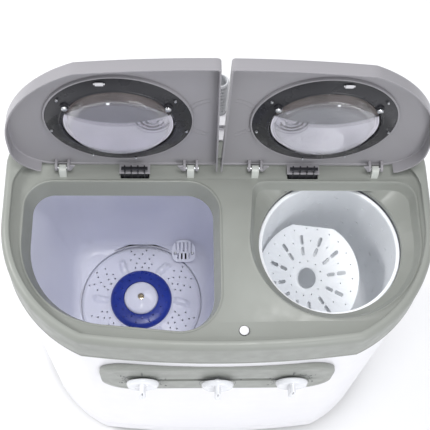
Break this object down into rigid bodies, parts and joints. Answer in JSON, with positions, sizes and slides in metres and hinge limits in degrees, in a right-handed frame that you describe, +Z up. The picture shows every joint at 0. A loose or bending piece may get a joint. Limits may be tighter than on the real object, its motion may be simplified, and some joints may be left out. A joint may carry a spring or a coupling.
{
  "type": "twin-tub washing machine",
  "caption": "Compact top load washing machine with a wash tub and a spin basket side by side under two hinged porthole lids, shown open.",
  "frame": {"origin": "on the floor, at the middle of the machine's footprint box", "axes": "+X to the user's right, +Y to the back, +Z up; the user stands at -Y"},
  "size_m": [0.59, 0.3844, 0.8035],
  "materials": {
    "frame_plastic": "satin moulded, sage grey",
    "white_plastic": "semi-gloss moulded, white",
    "tub_plastic": "semi-gloss moulded, cool white",
    "blue_plastic": "semi-gloss moulded, deep blue",
    "smoky_plastic": "translucent smoke grey",
    "charcoal_plastic": "semi-gloss, charcoal",
    "clear_window": "clear plastic bowl",
    "dark_plastic": "moulded, near black",
    "black_rubber": "matt",
    "plain_steel": "zinc plated",
    "motor_paint": "painted steel and aluminium",
    "hose_plastic": "corrugated, pale grey",
    "knob_plastic": "satin, pale grey"
  },
  "bodies": {
    "cabinet": {"top_frame": "frame_plastic", "deck_plug": "white_plastic", "cabinet_shell": "white_plastic", "rear_cover": "white_plastic", "base_tray": "dark_plastic", "foot_front_left": "black_rubber", "foot_front_right": "black_rubber", "foot_rear_left": "black_rubber", "foot_rear_right": "black_rubber", "control_panel": "frame_plastic", "wash_timer": "tub_plastic", "drain_selector_switch": "tub_plastic", "spin_timer": "tub_plastic", "wash_tub": "tub_plastic", "drain_grille": "tub_plastic", "shaft_housing": "motor_paint", "shaft_seal": "black_rubber", "drive_belt": "black_rubber", "wash_motor": "motor_paint", "drive_bracket": "plain_steel", "spin_outer_tub": "tub_plastic", "spin_seal": "black_rubber", "spin_motor": "motor_paint", "spin_motor_mount": "plain_steel", "drain_valve": "dark_plastic", "drain_duct": "dark_plastic", "hose_elbow": "dark_plastic", "drain_hose": "hose_plastic", "hose_clip": "white_plastic", "hose_holder": "white_plastic", "power_cord_gland": "black_rubber", "capacitor": "white_plastic", "wash_hinge_pin_left": "plain_steel", "wash_hinge_pin_right": "plain_steel", "spin_hinge_pin_left": "plain_steel", "spin_hinge_pin_right": "plain_steel"},
    "wash_lid": {"wash_lid": "smoky_plastic", "wash_porthole_bezel": "charcoal_plastic", "wash_window": "clear_window", "wash_lid_tongue": "charcoal_plastic"},
    "spin_lid": {"spin_lid": "smoky_plastic", "spin_porthole_bezel": "charcoal_plastic", "spin_window": "clear_window", "spin_lid_tongue": "charcoal_plastic"},
    "pulsator": {"pulsator": "tub_plastic", "pulsator_ring": "blue_plastic", "pulsator_cap": "tub_plastic", "pulsator_shaft": "plain_steel", "driven_pulley": "motor_paint"},
    "motor_pulley": {"motor_pulley": "plain_steel"},
    "spin_basket": {"spin_basket": "tub_plastic", "spin_shaft": "plain_steel", "brake_drum": "plain_steel"},
    "pressing_disc": {"pressing_disc": "tub_plastic"},
    "wash_timer_knob": {"wash_timer_knob": "knob_plastic"},
    "drain_selector_knob": {"drain_selector_knob": "knob_plastic"},
    "spin_timer_knob": {"spin_timer_knob": "knob_plastic"},
    "valve_plunger": {"valve_plunger": "plain_steel"},
    "brake_lever": {"brake_lever": "plain_steel"},
    "brake_link": {"brake_link": "dark_plastic"}
  },
  "joints": [
    {"name": "wash_lid_hinge", "type": "hinge", "parent": "cabinet", "child": "wash_lid", "pos_m": [-0.126, 0.09275, 0.56], "axis": [1, 0, 0], "range_deg": [0, 92.5]},
    {"name": "spin_lid_hinge", "type": "hinge", "parent": "cabinet", "child": "spin_lid", "pos_m": [0.134, 0.09275, 0.56], "axis": [1, 0, 0], "range_deg": [0, 92.5]},
    {"name": "pulsator_spin", "type": "hinge", "parent": "cabinet", "child": "pulsator", "pos_m": [-0.118, 0.01775, 0.212], "axis": [0, 0, 1], "continuous": true},
    {"name": "motor_pulley_spin", "type": "hinge", "parent": "cabinet", "child": "motor_pulley", "pos_m": [-0.018, -0.05225, 0.088], "axis": [0, 0, 1], "continuous": true},
    {"name": "basket_spin", "type": "hinge", "parent": "cabinet", "child": "spin_basket", "pos_m": [0.154, -0.00825, 0.262], "axis": [0, 0, 1], "continuous": true},
    {"name": "disc_lift", "type": "slide", "parent": "spin_basket", "child": "pressing_disc", "axis": [0, 0, 1], "range_m": [0, 0.06]},
    {"name": "wash_timer_turn", "type": "hinge", "parent": "cabinet", "child": "wash_timer_knob", "pos_m": [-0.105, -0.18125, 0.412], "axis": [0, 1, 0], "range_deg": [0, 300]},
    {"name": "drain_selector_turn", "type": "hinge", "parent": "cabinet", "child": "drain_selector_knob", "pos_m": [0, -0.18125, 0.412], "axis": [0, 1, 0], "range_deg": [0, 120]},
    {"name": "spin_timer_turn", "type": "hinge", "parent": "cabinet", "child": "spin_timer_knob", "pos_m": [0.105, -0.18125, 0.412], "axis": [0, 1, 0], "range_deg": [0, 300]},
    {"name": "valve_pull", "type": "slide", "parent": "cabinet", "child": "valve_plunger", "axis": [0, 0, -1], "range_m": [0, 0.012]},
    {"name": "brake_link_slide", "type": "slide", "parent": "cabinet", "child": "brake_link", "axis": [0, 0, 1], "range_m": [0, 0.004]},
    {"name": "brake_lever_turn", "type": "hinge", "parent": "cabinet", "child": "brake_lever", "pos_m": [0.108, 0.05375, 0.19], "axis": [0, 0, -1], "range_deg": [0, 6]}
  ],
  "couplings": [
    {"joint": "motor_pulley_spin", "follows": "pulsator_spin", "ratio": 4.47},
    {"joint": "drain_selector_turn", "follows": "valve_pull", "rad_per_m": 174.53},
    {"joint": "brake_link_slide", "follows": "spin_lid_hinge", "m_per_rad": 0.002475},
    {"joint": "brake_lever_turn", "follows": "spin_lid_hinge", "ratio": 0.0648}
  ]
}
